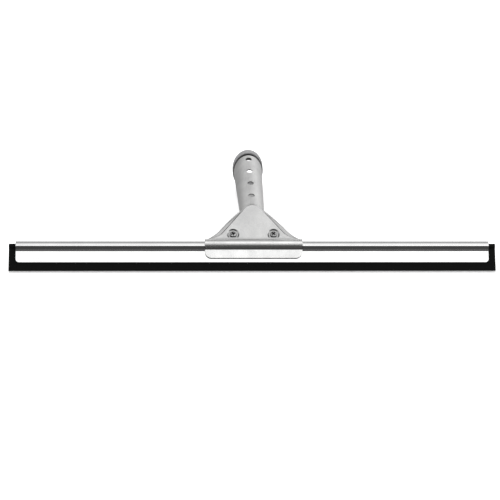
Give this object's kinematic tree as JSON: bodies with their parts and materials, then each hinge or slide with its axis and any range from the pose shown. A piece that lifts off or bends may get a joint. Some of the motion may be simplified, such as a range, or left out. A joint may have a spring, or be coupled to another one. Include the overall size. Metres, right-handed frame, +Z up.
{
  "type": "window cleaning squeegee",
  "caption": "Window squeegee: straight rubber blade held in a rolled metal channel, gripped by a screw-clamped jaw on a hollow oval handle with an open end for a pole.",
  "frame": {"origin": "centre of the footprint, on the surface the squeegee lies on", "axes": "+X along the blade, +Y from the rubber's edge towards the handle's open end, +Z up"},
  "size_m": [0.45, 0.1572, 0.0412],
  "materials": {
    "stainless_handle": "satin",
    "stainless_plate": "fine brushed",
    "stainless_channel": "bright rolled",
    "screw_steel": "plated",
    "clip_steel": "plain",
    "black_rubber": "matte",
    "collar_plastic": "fine grained"
  },
  "bodies": {
    "handle": {"handle_shell": "stainless_handle", "end_collar": "collar_plastic", "nut_left": "screw_steel", "nut_right": "screw_steel"},
    "clamp": {"clamp_plate": "stainless_plate"},
    "left_screw": {"screw_left": "screw_steel"},
    "right_screw": {"screw_right": "screw_steel"},
    "channel_rail": {"channel": "stainless_channel"},
    "blade": {"rubber_blade": "black_rubber", "rubber_clip_left": "clip_steel", "rubber_clip_right": "clip_steel"}
  },
  "joints": [
    {"name": "clamp_open", "type": "slide", "parent": "handle", "child": "clamp", "axis": [0, -0.4707, 0.8823], "range_m": [0, 0.0014]},
    {"name": "screw_left_turn", "type": "hinge", "parent": "clamp", "child": "left_screw", "pos_m": [-0.01875, -0.05347, 0.02483], "axis": [0, -0.4707, 0.8823], "range_deg": [0, 720]},
    {"name": "screw_right_turn", "type": "hinge", "parent": "clamp", "child": "right_screw", "pos_m": [0.01875, -0.05347, 0.02483], "axis": [0, -0.4707, 0.8823], "range_deg": [0, 720]},
    {"name": "channel_slide", "type": "slide", "parent": "handle", "child": "channel_rail", "axis": [1, 0, 0], "range_m": [-0.17, 0.17]},
    {"name": "blade_slide", "type": "slide", "parent": "channel_rail", "child": "blade", "axis": [1, 0, 0], "range_m": [-0.15, 0.15]}
  ],
  "couplings": [
    {"joint": "screw_left_turn", "follows": "clamp_open", "rad_per_m": 8976},
    {"joint": "screw_right_turn", "follows": "clamp_open", "rad_per_m": 8976}
  ]
}
